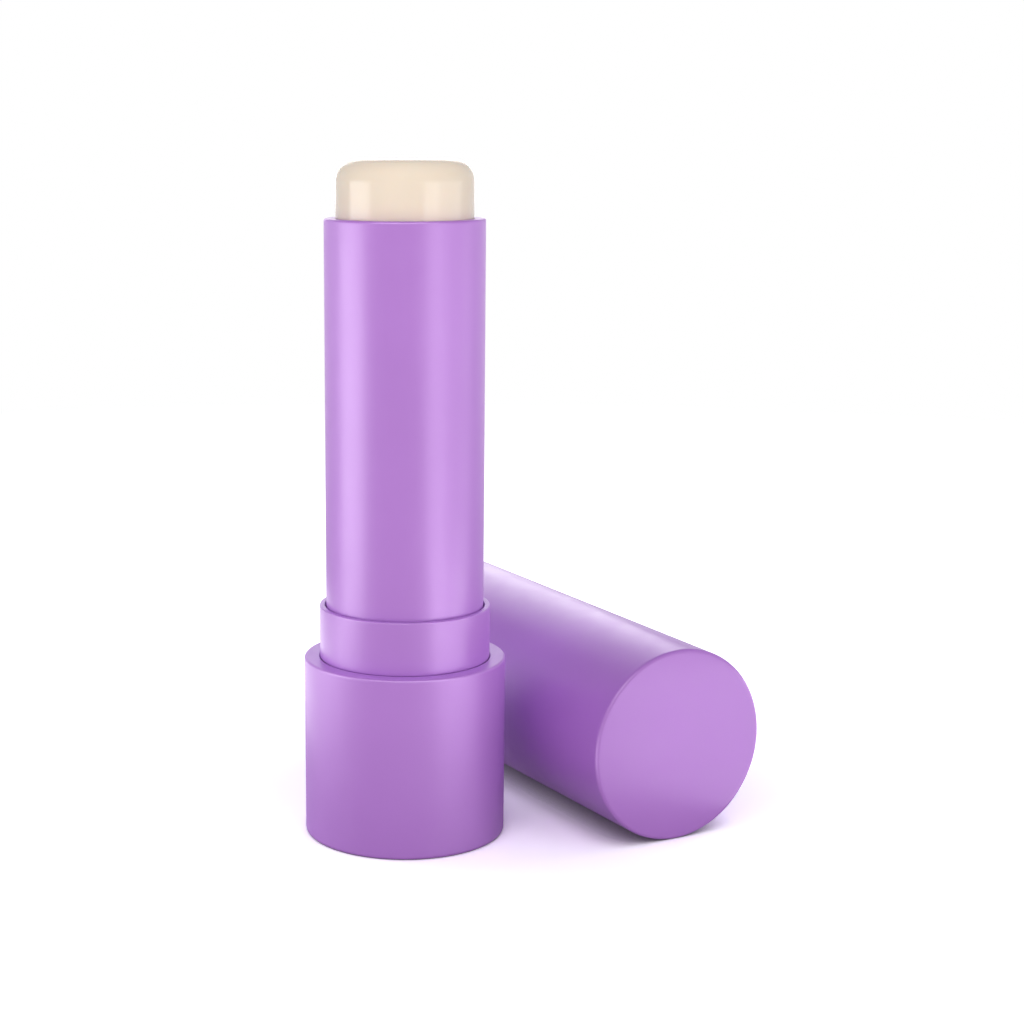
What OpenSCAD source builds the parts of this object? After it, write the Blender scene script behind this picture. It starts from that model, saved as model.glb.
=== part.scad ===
// Twist-up lip balm stick. It stands on its base, with its cap off and lying beside it.
// The base turns against the barrel. A screw keyed to the base lifts the elevator,
// which ribs keep from turning, and the elevator carries the balm up the bore.
// The origin is the centre of the base's underside, and +Z runs up the stick.

/* [Balm] */
// Diameter of the balm
balm_d = 12.4; // [10:0.1:18]
// Height that the balm stands above the barrel's rim
balm_proud = 5.2; // [3:0.1:9]
// Depth of the balm's top below the rim when it is wound right down
balm_sink = 1.8; // [0.5:0.1:3]
// Radius of the balm's top edge
balm_edge_r = 1.9; // [0.5:0.1:2.9]

/* [Barrel] */
// Height of the barrel's rim above the top of the base
barrel_reach = 40.1; // [32:0.1:55]
// Wall of the barrel
barrel_wall = 1.0; // [0.8:0.05:2]
// Thickness of the barrel's floor
barrel_floor = 1.4; // [1:0.1:2.5]
// Radius of the rim's outer edge
barrel_edge_r = 0.2; // [0.1:0.05:0.35]
// Number of ribs that key the elevator
rib_count = 4; // [2:1:6]
// Width of a rib
rib_w = 0.9; // [0.6:0.1:1.4]
// Height of a rib above the bore
rib_h = 0.35; // [0.2:0.05:0.45]

/* [Collar] */
// Height of the collar above the top of the base
collar_reach = 4.85; // [3:0.05:8]
// Wall of the collar
collar_wall = 0.48; // [0.4:0.02:1]
// Thickness of the collar's floor
collar_floor = 0.7; // [0.5:0.1:1.5]
// Radius of the collar's top edge
collar_edge_r = 0.1; // [0.05:0.05:0.15]

/* [Base] */
// Height of the base
base_h = 16.7; // [12:0.1:22]
// Width of the ledge around the collar, where the cap's mouth stands
base_ledge = 1.45; // [1:0.05:3]
// Thickness of the base's floor
base_floor = 1.4; // [1:0.1:2.5]
// Height of the boss that carries the collar and holds the screw
base_seat_h = 3.6; // [3:0.1:5]
// Number of ribs that stiffen the boss
base_rib_count = 6; // [3:1:8]
// Thickness of those ribs
base_rib_t = 0.9; // [0.6:0.1:1.4]
// Distance that those ribs stop below the top of the boss
base_rib_drop = 0.3; // [0.2:0.1:1]
// Radius of the boss around the screw's socket
boss_r = 3.5; // [3.1:0.1:4.2]
// Radius of the base's top edge
base_top_edge_r = 0.2; // [0.1:0.05:0.5]
// Radius of the base's bottom edge
base_foot_edge_r = 0.3; // [0.1:0.05:0.8]

/* [Drive] */
// Rise of the balm for each full turn of the base
lead = 4; // [3:0.25:5]
// Diameter of the screw's core
core_d = 2.7; // [2.5:0.1:3]
// Height of the thread above the core
thread_h = 0.65; // [0.5:0.05:0.8]
// Width of the thread
thread_w = 1.0; // [0.8:0.05:1.2]
// Width of the square key that seats in the base
key_w = 3.2; // [2.8:0.1:3.4]
// Diameter of the journal that runs in the barrel's floor
journal_d = 4.84; // [4.82:0.02:5.2]
// Thickness of the flange that holds the barrel down
flange_t = 0.8; // [0.6:0.1:1.5]
// Overhang of the flange beyond the journal
flange_lip = 1.1; // [0.8:0.1:1.4]

/* [Elevator] */
// Height of the elevator
elevator_h = 9.0; // [8:0.1:12]
// Wall of the elevator
elevator_wall = 0.85; // [0.8:0.05:1.1]
// Height of the top of its platform
platform_h = 5.2; // [4.6:0.1:6]
// Thickness of its platform
platform_t = 1.2; // [0.8:0.1:1.8]
// Wall of its hub
hub_wall = 1.15; // [0.8:0.05:1.3]
// Height of the hub's two thread pegs
peg_h = 1.8; // [1.5:0.1:2.5]
// Depth below the rim that the elevator stops at
top_margin = 1.2; // [0.6:0.1:3]

/* [Cap] */
// Room above the barrel's rim inside the closed cap
cap_headroom = 1.1; // [0.5:0.1:4]
// Thickness of the cap's closed end
cap_end_t = 1.4; // [1:0.1:3]
// Draft of the cap's outside, in degrees
cap_draft = 0.38; // [0:0.02:0.6]
// Radius of the edge of the closed end
cap_edge_r = 0.28; // [0.1:0.02:0.6]
// Radius of the cap's outer edge at the mouth
cap_mouth_edge_r = 0.2; // [0.1:0.05:0.4]
// Lead-in chamfer of the cap's mouth
cap_lead_in = 0.3; // [0.1:0.05:0.5]
// Clear gap between the lying cap and the base
cap_gap = 2.0; // [1:0.1:20]
// Distance that the cap's closed end lies in front of the stick's axis
cap_forward = 14.9; // [0:0.1:30]

/* [Fits] */
// Radial gap between the balm and the bore
balm_gap = 0.05; // [0.03:0.01:0.15]
// Radial gap between the elevator and the bore
elevator_gap = 0.08; // [0.05:0.01:0.2]
// Gap at each side and the top of a barrel rib
rib_gap = 0.1; // [0.05:0.01:0.15]
// Radial gap between the barrel and the collar
turn_gap = 0.12; // [0.05:0.01:0.2]
// Radial gap between the journal and the barrel's floor
journal_gap = 0.08; // [0.02:0.01:0.1]
// End gap at each running face
thrust_gap = 0.1; // [0.05:0.01:0.2]
// Radial gap between the thread's crest and the elevator's hub
crest_gap = 0.15; // [0.1:0.01:0.3]
// Gap between a peg and the thread's flanks and core
peg_gap = 0.2; // [0.15:0.01:0.25]
// Radial gap between the cap and the collar
cap_fit = 0.05; // [0.02:0.01:0.1]
// Gap at the seats that don't move
seat_gap = 0.02; // [0.01:0.01:0.05]

/* [Hidden] */
$fn = 96;

// length by which a cut or a joined block runs past a face
over = 0.2;

// radii, from the balm outwards
balm_r = balm_d / 2;
bore_r = balm_r + balm_gap;
barrel_r = bore_r + barrel_wall;
collar_bore_r = barrel_r + turn_gap;
collar_r = collar_bore_r + collar_wall;
base_r = collar_r + base_ledge;
cap_bore_r = collar_r + cap_fit;

// the collar is a little slimmer where it is pressed into the base
collar_relief = 0.04;
collar_foot_r = collar_r - collar_relief;
// a groove under its shoulder lets the shoulder sit down flat on the base
collar_groove_h = 0.6;
collar_groove_depth = 0.2;
base_bore_r = collar_foot_r + seat_gap;
base_bore_chamfer = 0.12;

// heights of the standing pieces
seat_z = base_floor + base_seat_h;
collar_floor_z = seat_z + collar_floor;
collar_top_z = base_h + collar_reach;
barrel_foot_z = collar_floor_z + thrust_gap;
barrel_floor_z = barrel_foot_z + barrel_floor;
rim_z = base_h + barrel_reach;
rim_chamfer = 0.1;

// the drive screw, from its key upwards
core_r = core_d / 2;
crest_r = core_r + thread_h;
journal_r = journal_d / 2;
floor_hole_r = journal_r + journal_gap;
collar_hole_clear = 0.4;
collar_hole_r = floor_hole_r + collar_hole_clear;
flange_r = journal_r + flange_lip;
flange_z = barrel_floor_z + thrust_gap;
thread_z = flange_z + flange_t;
socket_floor_t = 0.3;
key_z = base_floor + socket_floor_t;
journal_z = seat_z + collar_floor - over;

// the elevator's stops, and its place as the stick stands
elevator_start_gap = 0.5;
elevator_low_z = thread_z + elevator_start_gap;
elevator_travel = rim_z - top_margin - elevator_h - elevator_low_z;
wound_up = balm_proud + balm_sink;
elevator_z = elevator_low_z + wound_up;
elevator_r = bore_r - elevator_gap;
elevator_bore_r = elevator_r - elevator_wall;
hub_bore_r = crest_r + crest_gap;
hub_r = hub_bore_r + hub_wall;
hub_foot_h = 0.4;

// the thread ends just above the pegs of the fully raised elevator
thread_past_peg = 0.9;
tip_h = 0.6;
thread_top_z = elevator_low_z + elevator_travel + peg_h + thread_past_peg;
tip_z = thread_top_z + tip_h;
slices_per_turn = 10;
core_sides = 8;

// a peg fills the groove between the two starts of the thread
thread_angle = 2 * asin(thread_w / 2 / core_r);
groove_w = lead * (0.5 - thread_angle / 360);
helix_angle = atan(lead / (2 * PI * core_r));
peg_r = groove_w * cos(helix_angle) / 2 - peg_gap;
peg_tip_r = core_r + peg_gap;
peg_turn = 90 - 360 * (elevator_z + peg_h - thread_z) / lead;

// the ribs end where the top of the wound-down balm stays round
rib_stop = 0.4;
rib_top_z = rim_z - wound_up - rib_stop;
rib_inner_r = bore_r - rib_h;
slot_w = rib_w + 2 * rib_gap;
slot_floor_r = rib_inner_r - rib_gap;

// the balm, poured round the screw while the elevator was down
screw_gap = 0.2;
tip_gap = 0.4;
balm_top_z = rim_z + balm_proud;
balm_foot_z = elevator_z + platform_h;
balm_shoulder_z = elevator_z + elevator_h;
balm_foot_r = elevator_bore_r - seat_gap;
balm_hole_r = crest_r + screw_gap;
balm_hole_top_z = tip_z + tip_gap + wound_up;
balm_slot_top_z = rib_top_z + rib_gap + wound_up;

// the cap, lying on its lowest line
cap_bore_l = barrel_reach + cap_headroom;
cap_l = cap_bore_l + cap_end_t;
cap_mouth_r = base_r;
cap_end_r = cap_mouth_r - cap_l * tan(cap_draft);
cap_bore_edge_r = 0.5;
cap_x = base_r + cap_gap + cap_mouth_r;
cap_mouth_y = cap_l * cos(cap_draft) - cap_forward;
cap_mouth_z = cap_mouth_r * cos(cap_draft);

purple = [0.72, 0.51, 0.83];
cream = [0.93, 0.87, 0.79];
white = [0.93, 0.93, 0.92];

// Section of a ring with rounded outer edges, to be turned about Z
module ring_section(r_in, r_out, z_low, z_high, low_edge_r, high_edge_r) {
    translate([r_in, z_low + low_edge_r])
        square([r_out - r_in, z_high - high_edge_r - z_low - low_edge_r]);
    translate([r_in, z_low])
        square([r_out - low_edge_r - r_in, z_high - z_low - high_edge_r]);
    translate([r_in, z_low + low_edge_r])
        square([r_out - high_edge_r - r_in, z_high - z_low - low_edge_r]);
    if (low_edge_r > 0)
        translate([r_out - low_edge_r, z_low + low_edge_r]) circle(low_edge_r);
    if (high_edge_r > 0)
        translate([r_out - high_edge_r, z_high - high_edge_r]) circle(high_edge_r);
}

// Straight blocks spaced around Z, standing out from a radius, half a step off the X axis
module blocks_around(count, r_in, r_out, w, z_low, z_high) {
    for (i = [0 : count - 1])
        rotate([0, 0, 360 * (i + 0.5) / count])
            translate([r_in, -w / 2, z_low]) cube([r_out - r_in, w, z_high - z_low]);
}

// The cap in its own frame: mouth at the origin, closed end up
module upright_cap() {
    low_side_r = cap_mouth_r - cap_mouth_edge_r * tan(cap_draft);
    high_side_r = cap_end_r + cap_edge_r * tan(cap_draft);
    rotate_extrude() {
        difference() {
            union() {
                polygon([
                    [0, cap_mouth_edge_r],
                    [low_side_r, cap_mouth_edge_r],
                    [high_side_r, cap_l - cap_edge_r],
                    [0, cap_l - cap_edge_r]
                ]);
                square([low_side_r - cap_mouth_edge_r, 2 * cap_mouth_edge_r]);
                translate([low_side_r - cap_mouth_edge_r, cap_mouth_edge_r]) circle(cap_mouth_edge_r);
                translate([0, cap_l - 2 * cap_edge_r])
                    square([high_side_r - cap_edge_r, 2 * cap_edge_r]);
                translate([high_side_r - cap_edge_r, cap_l - cap_edge_r]) circle(cap_edge_r);
            }
            translate([0, -over]) square([cap_bore_r, cap_bore_l + over - cap_bore_edge_r]);
            translate([0, -over]) square([cap_bore_r - cap_bore_edge_r, cap_bore_l + over]);
            translate([cap_bore_r - cap_bore_edge_r, cap_bore_l - cap_bore_edge_r])
                circle(cap_bore_edge_r);
            polygon([
                [0, -over],
                [cap_bore_r + cap_lead_in + over, -over],
                [cap_bore_r, cap_lead_in],
                [0, cap_lead_in]
            ]);
        }
    }
}

module cap() {
    color(purple)
        translate([cap_x, cap_mouth_y, cap_mouth_z])
            rotate([90 + cap_draft, 0, 0]) upright_cap();
}

module base_shell() {
    color(purple) {
        difference() {
            union() {
                rotate_extrude() {
                    ring_section(base_bore_r, base_r, 0, base_h, base_foot_edge_r, base_top_edge_r);
                    square([base_bore_r + over, base_floor]);
                }
                cylinder(r = boss_r, h = seat_z);
                blocks_around(base_rib_count, boss_r - over, base_bore_r + over, base_rib_t,
                    base_floor - over, seat_z - base_rib_drop);
            }
            translate([-key_w / 2 - seat_gap, -key_w / 2 - seat_gap, key_z - seat_gap])
                cube([key_w + 2 * seat_gap, key_w + 2 * seat_gap, seat_z]);
            // edge broken around the collar, which shows as a fine dark line
            translate([0, 0, base_h - base_bore_chamfer])
                cylinder(r1 = base_bore_r, r2 = base_bore_r + base_bore_chamfer + over,
                    h = base_bore_chamfer + over);
        }
    }
}

module collar() {
    color(purple)
        rotate_extrude() {
            difference() {
                union() {
                    ring_section(collar_hole_r, collar_r, base_h, collar_top_z, 0, collar_edge_r);
                    translate([collar_hole_r, seat_z])
                        square([collar_foot_r - collar_hole_r, base_h - collar_groove_h - seat_z]);
                    translate([collar_hole_r, seat_z])
                        square([collar_r - collar_groove_depth - collar_hole_r,
                            base_h - seat_z + over]);
                }
                translate([0, collar_floor_z]) square([collar_bore_r, collar_top_z]);
            }
        }
}

module barrel() {
    color(purple) {
        difference() {
            rotate_extrude()
                ring_section(floor_hole_r, barrel_r, barrel_foot_z, rim_z,
                    barrel_edge_r, barrel_edge_r);
            translate([0, 0, barrel_floor_z]) cylinder(r = bore_r, h = rim_z);
            translate([0, 0, rim_z - rim_chamfer])
                cylinder(r1 = bore_r, r2 = bore_r + rim_chamfer + over, h = rim_chamfer + over);
        }
        blocks_around(rib_count, rib_inner_r, bore_r + barrel_wall / 2, rib_w,
            barrel_floor_z - over, rib_top_z);
    }
}

// The thread: a bar across the core, twisted left-handed as it rises
module drive_thread() {
    thread_l = thread_top_z - thread_z;
    linear_extrude(height = thread_l, twist = 360 * thread_l / lead,
        slices = ceil(slices_per_turn * thread_l / lead), $fn = core_sides) {
        circle(core_r);
        square([2 * crest_r, thread_w], center = true);
    }
}

module drive_screw() {
    color(white) {
        translate([-key_w / 2, -key_w / 2, key_z]) cube([key_w, key_w, journal_z - key_z + over]);
        translate([0, 0, journal_z]) cylinder(r = journal_r, h = flange_z - journal_z);
        translate([0, 0, flange_z]) cylinder(r = flange_r, h = flange_t);
        translate([0, 0, thread_z]) drive_thread();
        translate([0, 0, thread_top_z]) cylinder(r1 = core_r, r2 = core_r / 2, h = tip_h);
    }
}

module elevator() {
    color(white)
        translate([0, 0, elevator_z]) {
            difference() {
                cylinder(r = elevator_r, h = elevator_h);
                translate([0, 0, platform_h]) cylinder(r = elevator_bore_r, h = elevator_h);
                translate([0, 0, -over])
                    difference() {
                        cylinder(r = elevator_bore_r, h = platform_h - platform_t + over);
                        cylinder(r = hub_r, h = platform_h);
                    }
                translate([0, 0, -over]) cylinder(r = hub_r + over, h = hub_foot_h + over);
                translate([0, 0, -over]) cylinder(r = hub_bore_r, h = platform_h + 2 * over);
                blocks_around(rib_count, slot_floor_r, elevator_r + over, slot_w,
                    -over, elevator_h + over);
            }
            for (side = [0, 180])
                rotate([0, 0, peg_turn + side])
                    translate([peg_tip_r, 0, peg_h]) rotate([0, 90, 0])
                        cylinder(r = peg_r, h = hub_bore_r + hub_wall / 2 - peg_tip_r);
        }
}

module balm() {
    color(cream)
        difference() {
            rotate_extrude() {
                ring_section(0, balm_r, balm_shoulder_z, balm_top_z, 0, balm_edge_r);
                translate([0, balm_foot_z])
                    square([balm_foot_r, balm_shoulder_z - balm_foot_z + over]);
            }
            translate([0, 0, balm_foot_z - over])
                cylinder(r = balm_hole_r, h = balm_hole_top_z - balm_foot_z + over);
            blocks_around(rib_count, slot_floor_r, balm_r + over, slot_w,
                balm_shoulder_z - over, balm_slot_top_z);
        }
}

cap();
base_shell();
collar();
barrel();
drive_screw();
elevator();
balm();
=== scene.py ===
# %% [markdown]
# # A twist-up lip balm stick
# The stick stands on its turning base, wound up so that the cream balm shows, and its cap
# lies beside it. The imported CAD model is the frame: it gives each piece its place and its
# body, and this script dresses it. Sizes below are in millimetres, as on a maker's drawing,
# and each mesh is made in metres.

# %% Load the frame
import math

import bpy
import numpy as np
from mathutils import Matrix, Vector


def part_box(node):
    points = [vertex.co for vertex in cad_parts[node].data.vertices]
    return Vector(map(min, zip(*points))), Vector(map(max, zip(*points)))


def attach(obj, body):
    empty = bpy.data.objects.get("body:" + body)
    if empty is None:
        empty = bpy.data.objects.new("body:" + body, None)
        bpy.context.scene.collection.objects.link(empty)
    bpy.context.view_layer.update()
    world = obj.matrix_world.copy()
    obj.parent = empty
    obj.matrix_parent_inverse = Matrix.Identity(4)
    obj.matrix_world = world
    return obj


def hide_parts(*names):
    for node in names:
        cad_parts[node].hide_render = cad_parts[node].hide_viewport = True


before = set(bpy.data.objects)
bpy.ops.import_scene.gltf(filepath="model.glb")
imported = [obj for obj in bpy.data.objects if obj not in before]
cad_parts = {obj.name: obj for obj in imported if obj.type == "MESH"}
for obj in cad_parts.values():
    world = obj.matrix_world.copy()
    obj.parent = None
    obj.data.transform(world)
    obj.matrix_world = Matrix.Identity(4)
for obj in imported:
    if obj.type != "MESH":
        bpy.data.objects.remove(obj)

MM = 0.001
scene = bpy.context.scene
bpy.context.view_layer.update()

# %% [markdown]
# ## Camera
# The photograph looks a little down on the stick from in front, with the stick left of the
# middle. Turning the camera to the left would lean the upright tube, so the picture is
# shifted instead, as a product photographer shifts a view camera.

# %% Camera
HEADING, PITCH = math.radians(62.378), math.radians(-10.718)
camera_data = bpy.data.cameras.new("camera")
camera_data.lens, camera_data.sensor_width = 70.9, 36.0
camera_data.shift_x = 0.1046
camera_data.clip_start, camera_data.clip_end = 0.01, 20.0
camera = bpy.data.objects.new("camera", camera_data)
scene.collection.objects.link(camera)
scene.camera = camera
look = Vector((math.cos(PITCH) * math.cos(HEADING), math.cos(PITCH) * math.sin(HEADING), math.sin(PITCH)))
camera.location = Vector((-84.19, -160.90, 64.5)) * MM
camera.rotation_euler = look.to_track_quat("-Z", "Y").to_euler()
print("camera looks along", tuple(round(c, 3) for c in look))

# %% [markdown]
# ## Turned shapes
# Every outer piece of a stick like this is round, because the moulds are turned and the cap
# has to go on at any angle. A lathe shape is a profile carried round an axis. Bevel modifiers
# could round its edges, but an edge of a fifth of a millimetre is sharper to control in the
# profile itself: each corner becomes a true arc, and one extra point beside the arc keeps the
# smooth shading from creeping over the flat beside it.

# %% Profiles with rounded corners
ARC_STEPS, SUPPORT = 5, 0.12


def rounded(corners, radii, closed=True, extra=None, steps=ARC_STEPS):
    """Profile (r, z) through the corners, in millimetres.

    At each corner the arc's centre lies on the bisector of its two edges, at radius / sin(half
    the angle between them), and the arc's points are that centre plus the two end spokes
    weighted by sines, which keeps them on the circle. A closed profile joins its last corner to
    its first; an open one starts and ends on the axis. extra maps a corner's number to points
    that are laid in after it.
    """
    p = np.asarray(corners, float)
    q = p if closed else p[1:-1]
    towards = lambda shift: (np.roll(p, shift, 0) - p if closed else p[1 - shift:len(p) - 1 - shift] - q)
    back, ahead = towards(1), towards(-1)
    back_l, ahead_l = np.linalg.norm(back, axis=1), np.linalg.norm(ahead, axis=1)
    back, ahead = back / back_l[:, None], ahead / ahead_l[:, None]
    half = np.arccos(np.clip((back * ahead).sum(1), -1, 1)) / 2
    r = np.broadcast_to(np.asarray(radii, float), len(q))
    reach = r / np.tan(half)
    middle = q + (back + ahead) / np.linalg.norm(back + ahead, axis=1)[:, None] * (r / np.sin(half))[:, None]
    first, last = q + back * reach[:, None], q + ahead * reach[:, None]
    sweep, share = (np.pi - 2 * half)[:, None], np.linspace(0, 1, steps)[None]
    w0, w1 = np.sin((1 - share) * sweep) / np.sin(sweep), np.sin(share * sweep) / np.sin(sweep)
    arcs = (middle[:, None] + w0[..., None] * (first - middle)[:, None]
            + w1[..., None] * (last - middle)[:, None])
    room_back = back_l - reach - (np.roll(reach, 1) if closed else np.r_[0, reach[:-1]])
    room_ahead = ahead_l - reach - (np.roll(reach, -1) if closed else np.r_[reach[1:], 0])
    lead_in = first + back * np.minimum(SUPPORT, 0.3 * room_back)[:, None]
    lead_out = last + ahead * np.minimum(SUPPORT, 0.3 * room_ahead)[:, None]
    rows = list(np.concatenate([lead_in[:, None], arcs, lead_out[:, None]], axis=1))
    for number, points in (extra or {}).items():
        after = number if closed else number - 1
        rows[after] = np.vstack([rows[after], points])
    return np.vstack(rows if closed else [p[:1], *rows, p[-1:]])


sample = rounded([[0, 0], [9.3, 0], [9.3, 16.7], [0, 16.7]], 0.3, closed=False)
print("a plain round block's profile has", len(sample), "points")

# %% [markdown]
# A ring of points for each point of the profile makes a grid, and the grid becomes the mesh.
# Columns of the grid run along the piece and rows run round it. Some pieces carry ribs or
# slots along their length. Cutting those with a boolean would leave ragged triangles, so the
# columns are crowded at the sides of each rib instead, and the radius steps between them.

# %% Rings, columns and skins
ROUND_COLUMNS, FILL_COLUMNS = 192, 40


def even_columns(radius, count=ROUND_COLUMNS):
    """The same evenly spaced angles for each row, and no rib anywhere."""
    angles = np.arange(count) * 2 * np.pi / count
    return np.broadcast_to(angles, (len(radius), count)), np.zeros(count)


def ribbed_columns(radius, count, half, fill):
    """Angles for each row, with columns that keep parallel to count ribs, and each column's rib share.

    Across one rib the columns stand at fixed distances from its middle line, so a row of radius
    r has them at arcsin(distance / r). Between two ribs, fill more columns divide the angle
    evenly. The ribs stand half a step off the X axis.
    """
    side = half + np.array([0.12, 0.04, 0.01, -0.01, -0.04, -0.12])
    across = np.concatenate([-side, [0.0], side[::-1]])
    share = np.array([0, 0, 0.1, 0.9, 1, 1, 1, 1, 1, 0.9, 0.1, 0, 0], float)
    near = np.arcsin(across[None] / np.maximum(radius, 2.5 * half)[:, None])
    step = 2 * np.pi / count
    between = near[:, -1:] + (step - 2 * near[:, -1:]) * np.linspace(0, 1, fill + 2)[None, 1:-1]
    sector = np.concatenate([near, between], axis=1)
    start = (np.arange(count) + 0.5) * step
    angles = (sector[:, None, :] + start[None, :, None]).reshape(len(radius), -1)
    return angles, np.tile(np.concatenate([share, np.zeros(fill)]), count)


def ring_points(r, z, angles):
    """Each grid point is (r cos a, r sin a, z)."""
    r, z = np.broadcast_to(r, angles.shape), np.broadcast_to(z, angles.shape)
    return np.stack([r * np.cos(angles), r * np.sin(angles), z], axis=-1)


def skin(name, grid, closed):
    """Smooth mesh over a grid of points (rows, columns, 3) in millimetres.

    Neighbouring points make four-sided faces, and the columns close on themselves. A closed
    grid also joins its last row to its first. An open one has its first and last row at a single
    point each, which becomes a pole with a fan of triangles.
    """
    rows, cols = grid.shape[:2]
    body = grid if closed else grid[1:-1]
    points = body.reshape(-1, 3)
    number = np.arange(len(points)).reshape(-1, cols)
    low = number if closed else number[:-1]
    high = np.roll(number, -1, 0) if closed else number[1:]
    quads = np.stack([low, np.roll(low, -1, 1), np.roll(high, -1, 1), high], axis=-1).reshape(-1, 4)
    faces = quads.tolist()
    if not closed:
        poles = np.stack([grid[0].mean(0), grid[-1].mean(0)])
        points = np.vstack([points, poles])
        south, north = np.full(cols, len(points) - 2), np.full(cols, len(points) - 1)
        faces += np.stack([number[0], south, np.roll(number[0], -1)], axis=-1).tolist()
        faces += np.stack([number[-1], np.roll(number[-1], -1), north], axis=-1).tolist()
    mesh = bpy.data.meshes.new(name)
    mesh.from_pydata((points * MM).tolist(), [], faces)
    mesh.polygons.foreach_set("use_smooth", np.ones(len(mesh.polygons), bool))
    mesh.update()
    piece = bpy.data.objects.new(name, mesh)
    scene.collection.objects.link(piece)
    triangles = sum(len(f) - 2 for f in faces)
    print(f"{name}: {len(points)} points, {triangles} triangles")
    return piece


four_ribs = ribbed_columns(np.array([6.25]), 4, 0.45, FILL_COLUMNS)[0]
print("a plain row has", ROUND_COLUMNS, "columns and a row with four ribs has", four_ribs.shape[1])

# %% [markdown]
# Each finished piece takes the place of its CAD node. It then moves with the node's body and gets its finish
# in a material slot of its own, so whoever takes the stick from the library can still turn it or give it
# another colour. Its box is measured against the drawn one, as a moulding is gauged.

# %% Dressing a node
def dress(piece, body, node, material):
    """The piece rides on its body, stands for its CAD node and takes its finish."""
    made = np.array(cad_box(piece)) / MM
    drawn = np.array([list(c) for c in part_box(node)]) / MM
    print(f"  furthest from {node}'s box: {abs(made - drawn).max():.3f} mm")
    piece.data.materials.append(material)
    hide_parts(node)
    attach(piece, body)
    return piece


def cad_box(piece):
    """Lowest and highest corner of a piece's own points, in metres."""
    flat = np.zeros(len(piece.data.vertices) * 3)
    piece.data.vertices.foreach_get("co", flat)
    return flat.reshape(-1, 3).min(0), flat.reshape(-1, 3).max(0)


print("nodes to dress:", sorted(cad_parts))

# %% [markdown]
# ## The purple plastic
# The stick is polypropylene, moulded against steel that was left satin by fine spark erosion.
# Such a surface has no scratches in one direction, so light spreads evenly round each
# highlight. Three noises at three sizes make it: a slow drift of tone as the melt cooled, a
# patchiness of the gloss a millimetre or two across, and the grain itself at a tenth of a
# millimetre, which only bends the light. They read Object coordinates, which are metres here,
# so each scale is one over the size of its grain.

# %% Node helpers
def new_material(name):
    """A fresh material with its node tree, its main shader and its Object coordinates."""
    material = bpy.data.materials.new(name)
    material.use_nodes = True
    tree = material.node_tree
    shader = tree.nodes["Principled BSDF"]
    place = tree.nodes.new("ShaderNodeTexCoord").outputs["Object"]
    return material, tree, shader, place


def noise(tree, place, size, detail=2.0, rough=0.5):
    """Noise whose lumps are about size millimetres across."""
    node = tree.nodes.new("ShaderNodeTexNoise")
    node.inputs["Scale"].default_value = 1.0 / (size * MM)
    node.inputs["Detail"].default_value = detail
    node.inputs["Roughness"].default_value = rough
    tree.links.new(place, node.inputs["Vector"])
    return node.outputs["Fac"]


def spread(tree, value, low, high, start=0.3, end=0.7):
    """Stretches a noise, which keeps near its middle, to run from low to high."""
    node = tree.nodes.new("ShaderNodeMapRange")
    for socket, number in zip(("From Min", "From Max", "To Min", "To Max"), (start, end, low, high)):
        node.inputs[socket].default_value = number
    tree.links.new(value, node.inputs["Value"])
    return node.outputs["Result"]


def tint(tree, value, colour_low, colour_high):
    """Colour that runs from one tone to another as the value goes from 0 to 1."""
    node = tree.nodes.new("ShaderNodeMix")
    node.data_type = "RGBA"
    node.inputs["A"].default_value = (*colour_low, 1)
    node.inputs["B"].default_value = (*colour_high, 1)
    tree.links.new(value, node.inputs["Factor"])
    return node.outputs["Result"]


def bump(tree, height, depth, strength, below=None):
    """Bump of that depth in millimetres, laid over another bump if one is given."""
    node = tree.nodes.new("ShaderNodeBump")
    node.inputs["Distance"].default_value = depth * MM
    node.inputs["Strength"].default_value = strength
    tree.links.new(height, node.inputs["Height"])
    if below is not None:
        tree.links.new(below, node.inputs["Normal"])
    return node.outputs["Normal"]


print("a grain of 2 mm has noise scale", round(1 / (2 * MM)))

# %% [markdown]
# The finish itself is one function, because every purple piece came from the same plastic. The base is a
# little rougher and coarser, since its mould was eroded more strongly, and the cap, which is handled most, a
# little smoother. The base's colour is still painted three per cent lighter: painted light, a lighter copy
# of the same plastic that brightens the base as more light would.

# %% Satin moulded plastic
def satin_plastic(name, colour, gloss, grain=0.12, drift=0.025):
    """Satin polypropylene: tone drift, patchy gloss and a spark-eroded grain.

    colour is linear. gloss is the middle roughness. drift is the share by which the tone moves.
    """
    material, tree, shader, place = new_material(name)
    colour = np.asarray(colour)
    melt = spread(tree, noise(tree, place, 14.0, 3.0), 0.0, 1.0)
    tone = tint(tree, melt, colour * (1 - drift), np.minimum(colour * (1 + drift), 1))
    tree.links.new(tone, shader.inputs["Base Color"])
    patches = noise(tree, place, 1.6, 4.0, 0.6)
    tree.links.new(spread(tree, patches, gloss - 0.035, gloss + 0.035), shader.inputs["Roughness"])
    waves = bump(tree, noise(tree, place, 3.5, 2.0), 0.02, 0.12)
    grains = bump(tree, noise(tree, place, grain, 3.0, 0.65), 0.004, 0.35, waves)
    tree.links.new(grains, shader.inputs["Normal"])
    shader.inputs["IOR"].default_value = 1.49
    return material


LILAC = np.array([0.455, 0.190, 0.640])
tube_finish = satin_plastic("satin_lilac_tube", LILAC, 0.36)
collar_finish = satin_plastic("satin_lilac_collar", LILAC, 0.38)
# The base's lilac is painted three per cent lighter than the rest: painted light, not a different plastic.
base_finish = satin_plastic("satin_lilac_base", LILAC * 1.03, 0.41, grain=0.16)
cap_finish = satin_plastic("satin_lilac_cap", LILAC, 0.34)
print("lilac, linear:", LILAC.tolist())

# %% [markdown]
# ## The barrel
# The tall tube holds the balm. Inside it has a floor with a hole for the screw's neck and four
# low ribs that keep the elevator from turning. The ribs end below the rim, so that the balm's
# end stays round. The whole tube, bore, floor and ribs are one closed skin.

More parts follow.
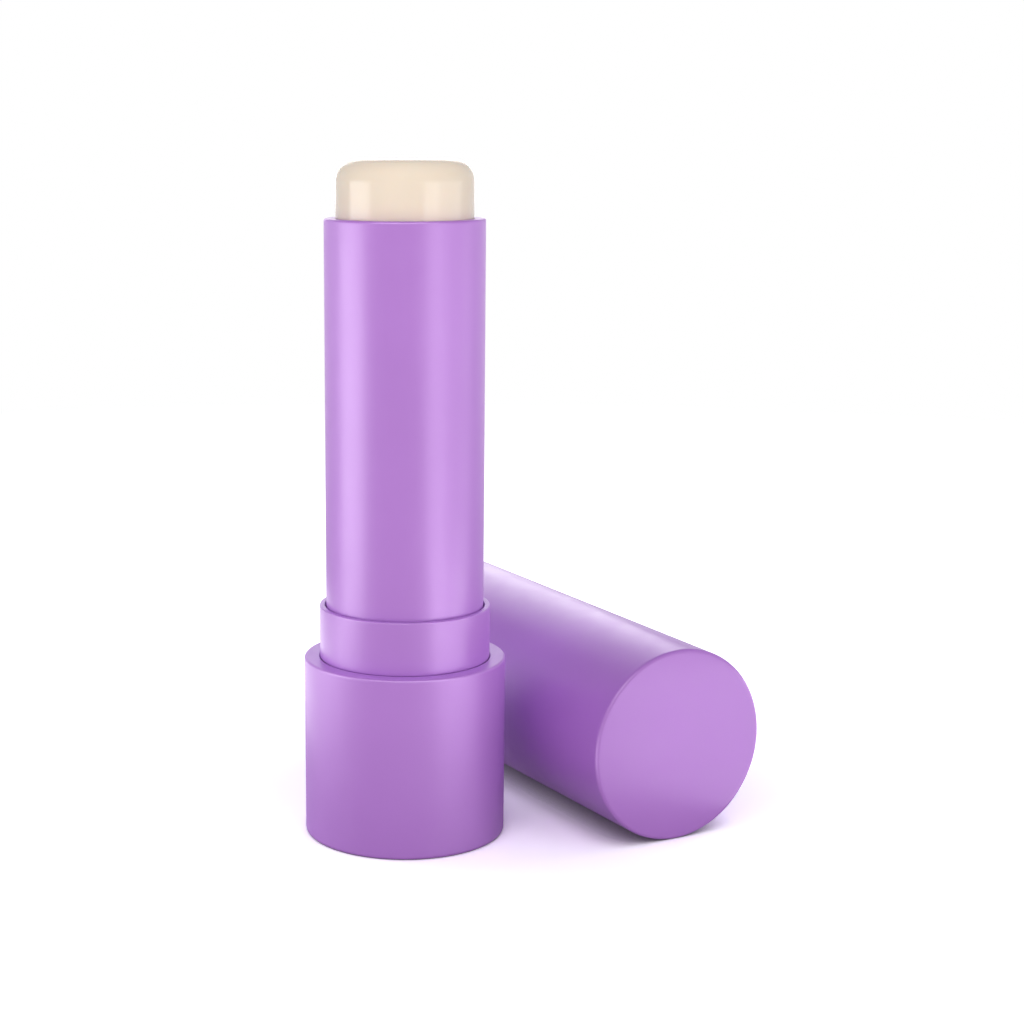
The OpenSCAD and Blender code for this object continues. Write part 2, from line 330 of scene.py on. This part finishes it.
# %% Barrel
BORE_R, BARREL_R, RIM_Z = 6.25, 7.25, 56.8
BARREL_FOOT_Z, BARREL_FLOOR_Z, FLOOR_HOLE_R = 5.8, 7.2, 2.5
RIB_TOP_Z, RIB_H, RIB_HALF, RIBS = 49.4, 0.35, 0.45, 4

outline = rounded(
    [[FLOOR_HOLE_R, BARREL_FOOT_Z], [BARREL_R, BARREL_FOOT_Z], [BARREL_R, RIM_Z],
     [BORE_R, RIM_Z], [BORE_R, BARREL_FLOOR_Z], [FLOOR_HOLE_R, BARREL_FLOOR_Z]],
    [0.04, 0.2, 0.2, 0.1, 0.06, 0.04],
    extra={3: [[BORE_R, RIB_TOP_Z + 0.1], [BORE_R, RIB_TOP_Z + 0.02],
               [BORE_R, RIB_TOP_Z - 0.02], [BORE_R, RIB_TOP_Z - 0.1]]},
)
r, z = outline[:, :1], outline[:, 1:]
angles, rib = ribbed_columns(outline[:, 0], RIBS, RIB_HALF, FILL_COLUMNS)
inside = (z < RIB_TOP_Z) & (r <= BORE_R + 1e-6) & (z >= BARREL_FLOOR_Z - 1e-6)
squeeze = 1 - rib[None] * RIB_H / (BORE_R - FLOOR_HOLE_R)
r = np.where(inside, FLOOR_HOLE_R + (r - FLOOR_HOLE_R) * squeeze, r)
barrel = dress(skin("barrel_tube", ring_points(r, z, angles), True),
               "barrel", "barrel", tube_finish)

# %% [markdown]
# ## The collar
# A thin sleeve stands out of the base, and the cap slides over it. It runs on down inside the
# base to the boss that carries it. Where it passes the top of the base, its shoulder makes the
# fine dark line that the eye sees at its foot.

# %% Collar
BASE_H, SEAT_Z = 16.7, 5.0
COLLAR_R, COLLAR_BORE_R, COLLAR_TOP_Z = 7.85, 7.37, 21.55
outline = rounded(
    [[2.9, SEAT_Z], [7.81, SEAT_Z], [7.81, BASE_H - 0.6], [7.65, BASE_H - 0.6], [7.65, BASE_H],
     [COLLAR_R, BASE_H], [COLLAR_R, COLLAR_TOP_Z], [COLLAR_BORE_R, COLLAR_TOP_Z],
     [COLLAR_BORE_R, SEAT_Z + 0.7], [2.9, SEAT_Z + 0.7]],
    [0.04, 0.04, 0.02, 0.02, 0.02, 0.02, 0.1, 0.06, 0.05, 0.04],
)
angles, _ = even_columns(outline[:, 0])
collar = dress(skin("collar_sleeve", ring_points(outline[:, :1], outline[:, 1:], angles), True),
               "base", "collar", collar_finish)

# %% [markdown]
# ## The base
# The base is the knob that the fingers turn. Its outer edges are only just broken, so they
# show as thin bright lines. Inside, a boss with a square socket drives the screw, and six ribs
# stiffen it. The floor of the cavity is lifted in the columns of each rib, and the socket's
# wall follows a square, whose radius is half its width over the larger of |cos| and |sin|.

# %% Base
BASE_R, BASE_BORE_R, BASE_FLOOR_Z = 9.3, 7.83, 1.4
BOSS_R, SOCKET_HALF, SOCKET_Z = 3.5, 1.62, 1.68
BASE_RIBS, BASE_RIB_HALF, BASE_RIB_Z = 6, 0.45, 4.7
outline = rounded(
    [[0, 0], [BASE_R, 0], [BASE_R, BASE_H], [BASE_BORE_R + 0.12, BASE_H], [BASE_BORE_R, BASE_H - 0.12],
     [BASE_BORE_R, BASE_FLOOR_Z], [BOSS_R, BASE_FLOOR_Z], [BOSS_R, SEAT_Z], [SOCKET_HALF, SEAT_Z],
     [SOCKET_HALF, SOCKET_Z], [0, SOCKET_Z]],
    [0.3, 0.2, 0.03, 0.03, 0.1, 0.1, 0.04, 0.04, 0.03], closed=False,
)
r, z = outline[:, :1], outline[:, 1:]
angles, rib = ribbed_columns(outline[:, 0], BASE_RIBS, BASE_RIB_HALF, 26)
in_cavity = (r > BOSS_R - 1e-6) & (r < BASE_BORE_R + 1e-6) & (z > BASE_FLOOR_Z - 1e-6) & (z < BASE_H - 0.1)
ceiling = np.where(r < BOSS_R + 0.15, SEAT_Z, BASE_H)
lift = np.where(in_cavity, np.clip((ceiling - z) / (ceiling - BASE_FLOOR_Z), 0, 1), 0)
z = z + lift * rib[None] * (BASE_RIB_Z - BASE_FLOOR_Z)
squareness = 1 / np.maximum(abs(np.cos(angles)), abs(np.sin(angles)))
near_socket = np.clip((BOSS_R - r) / (BOSS_R - SOCKET_HALF), 0, 1) * (outline[:, 1:] > SOCKET_Z - 0.01)
r = r * (1 + (squareness - 1) * near_socket)
base = dress(skin("base_knob", ring_points(r, z, angles), False),
             "base", "base_shell", base_finish)

# %% [markdown]
# ## The cap
# The cap is a deep cup with a flat closed end. It tapers by a third of a degree, because
# nothing this deep leaves its mould without some draft. It is turned in its own frame, mouth
# down, and then laid on its lowest line: its points are turned and moved, and its object stays
# at the origin.

# %% Cap
CAP_L, CAP_BORE_L, CAP_BORE_R, CAP_END_R = 42.6, 41.2, 7.9, 9.0175
DRAFT = math.radians(0.38)
CAP_PLACE = np.array([20.6, CAP_L * math.cos(DRAFT) - 14.9, BASE_R * math.cos(DRAFT)])
outline = rounded(
    [[0, CAP_BORE_L], [CAP_BORE_R, CAP_BORE_L], [CAP_BORE_R, 0.3], [CAP_BORE_R + 0.3, 0],
     [BASE_R, 0], [CAP_END_R, CAP_L], [0, CAP_L]],
    [0.5, 0.05, 0.05, 0.2, 0.28], closed=False,
)
angles, _ = even_columns(outline[:, 0])
standing = ring_points(outline[:, :1], outline[:, 1:], angles)
lean = math.pi / 2 + DRAFT
x, y, z = np.moveaxis(standing, -1, 0)
lying = np.stack([x, y * math.cos(lean) - z * math.sin(lean), y * math.sin(lean) + z * math.cos(lean)], -1)
cap = dress(skin("cap_shell", lying + CAP_PLACE, False), "cap", "cap", cap_finish)

# %% [markdown]
# ## The balm
# Wax mixtures let light in a little way, which softens the edge between light and shade. A plain
# pale plastic would look hard beside it. The scattering is set in millimetres and reaches
# deepest in red, as it does in skin and candles, and a faint ripple is left from the pour.

# %% Waxy finish
def waxy(name, colour, gloss):
    """Cosmetic wax: cloudy tone, a soft skin that light enters, and the faint ripple of a pour."""
    material, tree, shader, place = new_material(name)
    colour = np.asarray(colour)
    cloud = spread(tree, noise(tree, place, 5.0, 4.0, 0.55), 0.0, 1.0)
    tone = tint(tree, cloud, colour * 0.985, np.minimum(colour * 1.012, 1))
    tree.links.new(tone, shader.inputs["Base Color"])
    patches = spread(tree, noise(tree, place, 0.9, 3.0), gloss - 0.04, gloss + 0.05)
    tree.links.new(patches, shader.inputs["Roughness"])
    ripple = bump(tree, noise(tree, place, 2.4, 2.0), 0.03, 0.04)
    grains = bump(tree, noise(tree, place, 0.25, 3.0, 0.6), 0.004, 0.05, ripple)
    tree.links.new(grains, shader.inputs["Normal"])
    shader.inputs["IOR"].default_value = 1.44
    shader.inputs["Specular IOR Level"].default_value = 0.32
    shader.inputs["Subsurface Weight"].default_value = 0.25
    shader.inputs["Subsurface Radius"].default_value = (1.0, 0.7, 0.45)
    shader.inputs["Subsurface Scale"].default_value = 1.2 * MM
    return material


CREAM = [0.872, 0.748, 0.612]
balm_finish = waxy("cream_wax", CREAM, 0.20)
print("cream, linear:", CREAM)

# %% [markdown]
# The bullet was poured into the tube round the screw. Its top is flat with a well-rounded edge,
# and the barrel's ribs have left four shallow slots in the part that is still inside.

# %% Balm
BALM_R, BALM_TOP_Z, BALM_FOOT_Z, BALM_SHOULDER_Z = 6.2, 62.0, 20.8, 24.6
BALM_FOOT_R, SLOT_FLOOR_R, SLOT_TOP_Z, SLOT_HALF = 5.30, 5.8, 56.5, 0.55
HOLE_R, HOLE_TOP_Z = 2.2, 57.3
outline = rounded(
    [[0, HOLE_TOP_Z], [HOLE_R, HOLE_TOP_Z], [HOLE_R, BALM_FOOT_Z], [BALM_FOOT_R, BALM_FOOT_Z],
     [BALM_FOOT_R, BALM_SHOULDER_Z], [BALM_R, BALM_SHOULDER_Z], [BALM_R, BALM_TOP_Z], [0, BALM_TOP_Z]],
    [0.2, 0.1, 0.1, 0.1, 0.1, 1.9], closed=False, steps=13,
    extra={5: [[BALM_R, SLOT_TOP_Z - 0.1], [BALM_R, SLOT_TOP_Z - 0.02],
               [BALM_R, SLOT_TOP_Z + 0.02], [BALM_R, SLOT_TOP_Z + 0.1]]},
)
r, z = outline[:, :1], outline[:, 1:]
angles, slot = ribbed_columns(outline[:, 0], RIBS, SLOT_HALF, FILL_COLUMNS)
slotted = (r > BALM_FOOT_R + 1e-6) & (z < SLOT_TOP_Z) & (z > BALM_SHOULDER_Z - 0.01)
squeeze = 1 - slot[None] * (BALM_R - SLOT_FLOOR_R) / (BALM_R - BALM_FOOT_R)
r = np.where(slotted, BALM_FOOT_R + (r - BALM_FOOT_R) * squeeze, r)
balm = dress(skin("balm_bullet", ring_points(r, z, angles), False),
             "carrier", "balm", balm_finish)

# %% [markdown]
# ## The screw and the elevator
# The screw is keyed in the base's socket, passes through the barrel's floor, and carries a
# two-start left-hand thread. Its radius is the core's, plus the height of the thread where the
# angle lies near either start; the starts turn clockwise as they rise, once in every 4 mm.

# %% Screw in natural plastic
CORE_R, CREST_R, TOOTH_HALF = 1.35, 2.0, 0.5
THREAD_Z, THREAD_TOP_Z, LEAD = 8.1, 49.3, 4.0
KEY_HALF, KEY_FOOT_Z, KEY_TOP_Z = 1.6, 1.7, 5.5
NECK_R, NECK_TOP_Z, FLANGE_R = 2.42, 7.3, 3.52
TIP_R, TIP_Z = 0.675, 49.9
natural_finish = satin_plastic("natural_white_screw", [0.80, 0.80, 0.77], 0.40, grain=0.2, drift=0.015)
thread_rows = np.linspace(THREAD_Z + 0.2, THREAD_TOP_Z - 0.05, 330)
outline = rounded(
    [[0, KEY_FOOT_Z], [KEY_HALF, KEY_FOOT_Z], [KEY_HALF, KEY_TOP_Z], [NECK_R, KEY_TOP_Z],
     [NECK_R, NECK_TOP_Z], [FLANGE_R, NECK_TOP_Z], [FLANGE_R, THREAD_Z],
     [CORE_R, THREAD_Z], [CORE_R, THREAD_TOP_Z], [TIP_R, TIP_Z], [0, TIP_Z]],
    [0.05, 0.05, 0.05, 0.05, 0.05, 0.05, 0.05, 0.02, 0.05], closed=False,
    extra={7: np.stack([np.full_like(thread_rows, CORE_R), thread_rows], axis=1)},
)
r, z = outline[:, :1], outline[:, 1:]
angles, _ = even_columns(outline[:, 0], 96)
start_angle = -2 * np.pi * (z - THREAD_Z) / LEAD
off_start = abs((angles - start_angle + np.pi / 2) % np.pi - np.pi / 2)
foot, crest = math.asin(TOOTH_HALF / CORE_R), math.asin(TOOTH_HALF / CREST_R)
tooth = np.clip((foot - off_start) / (foot - crest), 0, 1)
on_thread = (z > THREAD_Z + 0.1) & (z < THREAD_TOP_Z)
squareness = 1 / np.maximum(abs(np.cos(angles)), abs(np.sin(angles)))
r = np.where(on_thread, r + (CREST_R - CORE_R) * tooth * tooth * (3 - 2 * tooth), r)
r = np.where((outline[:, 1:] < KEY_TOP_Z) & (outline[:, :1] < KEY_HALF + 0.01), r * squareness, r)
dress(skin("screw_spindle", ring_points(r, z, angles), False),
      "base", "drive_screw", natural_finish)

# %% [markdown]
# The elevator rides on that thread inside the barrel, where nothing of it is seen, so its CAD
# solid stays and only gets its finish.

# %% Elevator
elevator_finish = satin_plastic("natural_white_elevator", [0.79, 0.79, 0.76], 0.42, grain=0.2, drift=0.015)
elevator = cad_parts["elevator"]
elevator.data.materials.clear()
elevator.data.materials.append(elevator_finish)
print("elevator keeps its CAD mesh:", len(elevator.data.polygons), "faces")

# %% [markdown]
# ## Floor
# The stick stands on plain white paper. The disc's rings widen outwards, so its faces are small
# where the shadows lie.

# %% Floor
def radial_floor(reach, sectors=96):
    """Flat disc whose rings widen outwards: ring radius = reach times the square of its share."""
    radii = np.linspace(0, 1, 40)[1:] ** 2 * reach / MM
    angles, _ = even_columns(radii, sectors)
    rings = ring_points(radii[:, None], 0.0, angles)
    number = np.arange(len(radii) * sectors).reshape(-1, sectors) + 1
    points = np.vstack([[[0, 0, 0]], rings.reshape(-1, 3)])
    quads = np.stack([number[:-1], number[1:], np.roll(number[1:], -1, 1), np.roll(number[:-1], -1, 1)], -1)
    fan = np.stack([np.zeros(sectors, int), number[0], np.roll(number[0], -1)], -1)
    mesh = bpy.data.meshes.new("floor")
    mesh.from_pydata((points * MM).tolist(), [], quads.reshape(-1, 4).tolist() + fan.tolist())
    mesh.update()
    disc = bpy.data.objects.new("floor", mesh)
    scene.collection.objects.link(disc)
    return disc


FLOOR_REACH = 4.0
floor = radial_floor(FLOOR_REACH)
print("floor:", len(floor.data.polygons), "faces, reaching", FLOOR_REACH, "m")

# %% [markdown]
# Light and shadow fall on a plain diffuse surface. The camera alone sees that paper brighter, as a
# photographer exposes a white sweep, so the open floor reaches white while the shadows keep their shape.
# Close under the cap and the base, where hardly any light gets in, an occlusion test paints the paper darker
# for the camera: painted shade, laid over the real shadow.

# %% White paper
# The last four numbers set the painted shade: its darkest share of the exposure, how far its occlusion test
# reaches, and where that test's result starts and stops darkening.
PAPER, PAPER_SEEN, PAINTED_SHADE_LEVEL, PAINTED_SHADE_REACH = 0.62, 1.72, 0.30, 4 * MM
PAINTED_SHADE_SHUT, PAINTED_SHADE_OPEN = 0.15, 0.65
paper = bpy.data.materials.new("white_paper")
paper.use_nodes = True
tree = paper.node_tree
tree.nodes.clear()
output = tree.nodes.new("ShaderNodeOutputMaterial")
rays = tree.nodes.new("ShaderNodeLightPath")
place = tree.nodes.new("ShaderNodeTexCoord").outputs["Object"]
distance = tree.nodes.new("ShaderNodeVectorMath")
distance.operation = "LENGTH"
tree.links.new(place, distance.inputs[0])
sheet = tree.nodes.new("ShaderNodeBsdfDiffuse")
# An occlusion test within 4 mm paints the camera's paper darker under the cap and the base: painted shade
# over the real contact shadow.
painted_shade_ao = tree.nodes.new("ShaderNodeAmbientOcclusion")
painted_shade_ao.samples = 8
painted_shade_ao.inputs["Distance"].default_value = PAINTED_SHADE_REACH
seen = spread(tree, painted_shade_ao.outputs["AO"], PAPER_SEEN * PAINTED_SHADE_LEVEL, PAPER_SEEN, PAINTED_SHADE_SHUT, PAINTED_SHADE_OPEN)
paper_tone = tree.nodes.new("ShaderNodeMix")
paper_tone.data_type = "RGBA"
paper_tone.inputs["A"].default_value = (PAPER, PAPER, PAPER, 1)
tree.links.new(rays.outputs["Is Camera Ray"], paper_tone.inputs["Factor"])
tree.links.new(seen, paper_tone.inputs["B"])
tree.links.new(paper_tone.outputs["Result"], sheet.inputs["Color"])
print("paper reflects", PAPER, "and is exposed for the camera at", PAPER_SEEN)

# %% [markdown]
# Far from the stick a share of even white takes over, so that no edge of the paper shows. For
# the light, but not for the camera, a share in front of the stick is even white too: it sends
# light back up at the base, as a reflector laid on the table does.

# %% Even white
SWEEP_STARTS, SWEEP_ENDS = 0.09, 0.30
FRONT_STARTS, FRONT_ENDS = 0.018, 0.045
white = tree.nodes.new("ShaderNodeEmission")
towards_camera = tree.nodes.new("ShaderNodeVectorMath")
towards_camera.operation = "DOT_PRODUCT"
towards_camera.inputs[1].default_value = (-math.cos(HEADING), -math.sin(HEADING), 0)
tree.links.new(place, towards_camera.inputs[0])
far_share = spread(tree, distance.outputs["Value"], 0.0, 1.0, SWEEP_STARTS, SWEEP_ENDS)
front_share = spread(tree, towards_camera.outputs["Value"], 0.0, 1.0, FRONT_STARTS, FRONT_ENDS)
either = tree.nodes.new("ShaderNodeMath")
either.operation = "MAXIMUM"
tree.links.new(far_share, either.inputs[0])
tree.links.new(front_share, either.inputs[1])
share = tree.nodes.new("ShaderNodeMix")
tree.links.new(rays.outputs["Is Camera Ray"], share.inputs["Factor"])
tree.links.new(either.outputs[0], share.inputs["A"])
tree.links.new(far_share, share.inputs["B"])
blend = tree.nodes.new("ShaderNodeMixShader")
tree.links.new(share.outputs["Result"], blend.inputs["Fac"])
tree.links.new(sheet.outputs[0], blend.inputs[1])
tree.links.new(white.outputs[0], blend.inputs[2])
tree.links.new(blend.outputs[0], output.inputs["Surface"])
floor.data.materials.append(paper)
print("paper turns to even white from", SWEEP_STARTS, "to", SWEEP_ENDS, "m")

# %% [markdown]
# ## Light
# The tube's highlights tell where the lamps stood. The strip at two thirds of the left half
# lies where the surface turns 42 degrees from the camera, so its lamp stands at twice that,
# almost square to the left. The broad pale band on the right starts at a third of the right
# half, so a strip and then a wide panel begin some 35 degrees to the right. The dark middle
# mirrors the room behind the camera. That room is the world: bright in front, dim and bluish
# behind, which grades the cap's side, dimmer high up in the sheen, and white for the camera.

# %% World
ROOM_FRONT, ROOM_BACK = (1.00, 0.98, 0.95), (0.28, 0.30, 0.38)
SHEEN_LOW, SHEEN_HIGH = 0.95, 0.30
world = bpy.data.worlds.new("studio")
scene.world = world
world.use_nodes = True
tree = world.node_tree
background = tree.nodes["Background"]
rays = tree.nodes.new("ShaderNodeLightPath")
direction = tree.nodes.new("ShaderNodeTexCoord").outputs["Generated"]


def along(way):
    """How far the looked-up direction points along a way: their dot product."""
    node = tree.nodes.new("ShaderNodeVectorMath")
    node.operation = "DOT_PRODUCT"
    node.inputs[1].default_value = way
    tree.links.new(direction, node.inputs[0])
    return node.outputs["Value"]


def unless(ray, colour, plain):
    """The colour, but the plain one for rays of that kind."""
    node = tree.nodes.new("ShaderNodeMix")
    node.data_type = "RGBA"
    tree.links.new(rays.outputs[ray], node.inputs["Factor"])
    tree.links.new(colour, node.inputs["A"])
    if isinstance(plain, tuple):
        node.inputs["B"].default_value = (*plain, 1)
    else:
        tree.links.new(plain, node.inputs["B"])
    return node.outputs["Result"]


backwards = spread(tree, along((math.cos(HEADING), math.sin(HEADING), 0.45)), 0.0, 1.0, -0.6, 0.6)
room = tint(tree, backwards, ROOM_FRONT, ROOM_BACK)
upwards = spread(tree, along((0, 0, 1)), 0.0, 1.0, 0.10, 0.45)
room = unless("Is Glossy Ray", room, tint(tree, upwards, [SHEEN_LOW] * 3, [SHEEN_HIGH] * 3))
room = unless("Is Transmission Ray", room, (1, 1, 1))
room = unless("Is Camera Ray", room, (1, 1, 1))
tree.links.new(room, background.inputs["Color"])
print("room: front", ROOM_FRONT, "back", ROOM_BACK)

# %% [markdown]
# The camera looks down a little, so each upright side mirrors what is low. Large lamps that
# stood far off would be mirrored as the floor in front of them. So the light is made in two
# parts: lamps farther off give the even light and aren't mirrored, and small cards that stand
# close by, down to the floor, are only mirrored.

# %% A soft box
TO_CAMERA = math.atan2(-math.sin(HEADING), -math.cos(HEADING))


def soft_box(name, lit, seen_in, turn, height, reach, width, tall, radiance, target, around=(0, 0)):
    """Area lamp turn degrees to the right of the camera, seen from the point that it stands around.

    The direction is the way to the camera turned about the upright axis. A lamp of area A gives
    that radiance at radiance * pi * A watts. One seen in the sheen only gives a highlight, as a
    small card does that is held close. One seen in the matt only lights evenly, as a lamp does
    whose polarised light is filtered out of the highlights. Only the lit collection gets its
    light, as if a black flag kept it off the rest.
    """
    towards = TO_CAMERA + math.radians(turn)
    data = bpy.data.lights.new(name, "AREA")
    data.shape, data.size, data.size_y = "RECTANGLE", width, tall
    data.energy = radiance * math.pi * width * tall
    lamp = bpy.data.objects.new(name, data)
    lamp.location = (around[0] + reach * math.cos(towards), around[1] + reach * math.sin(towards), height)
    lamp.rotation_euler = (Vector(target) - lamp.location).to_track_quat("-Z", "Y").to_euler()
    lamp.visible_camera = False
    lamp.visible_diffuse = seen_in == "matt"
    lamp.visible_glossy = seen_in == "sheen"
    lamp.light_linking.receiver_collection = lit
    scene.collection.objects.link(lamp)
    print(f"{name}: {data.energy:.3f} W at {tuple(round(c, 2) for c in lamp.location)}")


print("the camera lies", round(math.degrees(TO_CAMERA), 1), "degrees from the X axis")

# %% [markdown]
# A card that draws a band on the tube would leave a whitish patch on the cap beside it. A
# photographer keeps it off with a black flag; here each lamp is linked to the pieces that it may
# light. The points that the lamps face are named too.

# %% Pieces and points for the lamps
def group(name, *pieces):
    """Collection of the pieces that a lamp may light."""
    lit = bpy.data.collections.new(name)
    for piece in pieces:
        lit.objects.link(piece)
    return lit


purple = group("purple", barrel, collar, base)
stick = group("stick", barrel, collar, base, balm)
upright = group("upright", barrel, collar, base, balm, floor)
all_but_balm = group("all_but_balm", barrel, collar, base, cap, floor)
loose_cap = group("loose_cap", cap)
bullet = group("bullet", balm)
MIDDLE, TUBE, FOOT = (0.004, 0.004, 0.030), (0, 0, 0.032), (0, 0, 0.009)
CAP_END, CAP_RIM = (0.0206, -0.0149, 0.009), (0.012, -0.015, 0.009)

# %% [markdown]
# A fill from the front lights the stick and the floor, and two lamps from behind reach the
# outer parts of the tube's sides. The cream balm is the palest thing here, so it has a softer
# lamp of its own from above, and the cap's closed end one from its side. The numbers are the
# turn in degrees, then height, distance, width and tallness in metres, then the radiance.

# %% Even light
soft_box("front_fill", upright, "matt", -15, 0.40, 0.55, 0.50, 0.40, 0.55, MIDDLE)
soft_box("end_fill", loose_cap, "matt", 60, 0.15, 0.45, 0.35, 0.28, 0.6, MIDDLE)
soft_box("balm_fill", bullet, "matt", 10, 0.60, 0.20, 0.35, 0.35, 1.7, MIDDLE)
soft_box("side_left", all_but_balm, "matt", -118, 0.15, 0.45, 0.35, 0.28, 3.0, MIDDLE)
soft_box("side_right", all_but_balm, "matt", 125, 0.15, 0.45, 0.35, 0.28, 2.6, MIDDLE)

# %% [markdown]
# The cards at the left and right draw the bands on the tube, and two low ones go on with them
# on the base. A wide card high in front draws the thin bright lines on the broken edges, and one
# behind lightens the ledges. The cap has its own cards for its end, its rim and its top.

# %% Cards for the sheen
soft_box("card_left", stick, "sheen", -78, 0.032, 0.075, 0.056, 0.061, 6.0, TUBE)
soft_box("strip_right", stick, "sheen", 42, 0.032, 0.075, 0.030, 0.061, 4.6, TUBE)
soft_box("wide_right", stick, "sheen", 76, 0.032, 0.080, 0.080, 0.061, 2.5, TUBE)
soft_box("low_left", stick, "sheen", -112, 0.0075, 0.034, 0.062, 0.013, 2.2, FOOT)
soft_box("low_right", stick, "sheen", 64, 0.009, 0.045, 0.050, 0.016, 5.0, FOOT)
soft_box("card_end", loose_cap, "sheen", 82, 0.0077, 0.010, 0.026, 0.0146, 3.5, CAP_END, CAP_END)
soft_box("card_high", purple, "sheen", 0, 0.26, 0.24, 0.60, 0.16, 8.0, MIDDLE)
soft_box("card_back", stick, "sheen", 184, 0.14, 0.35, 0.22, 0.20, 1.6, MIDDLE)
soft_box("rim_high", loose_cap, "sheen", -7, 0.25, 0.26, 0.20, 0.16, 7.0, MIDDLE)
soft_box("rim_low", loose_cap, "sheen", -27, 0.0045, 0.015, 0.020, 0.008, 4.0, CAP_RIM, CAP_RIM)
soft_box("cap_back", loose_cap, "sheen", 184, 0.14, 0.35, 0.22, 0.20, 2.6, MIDDLE)

# %% [markdown]
# ## Finish
# The picture is shown without a film look, so a colour comes out about as it is written.

# %% Finish
scene.view_settings.view_transform = "Standard"
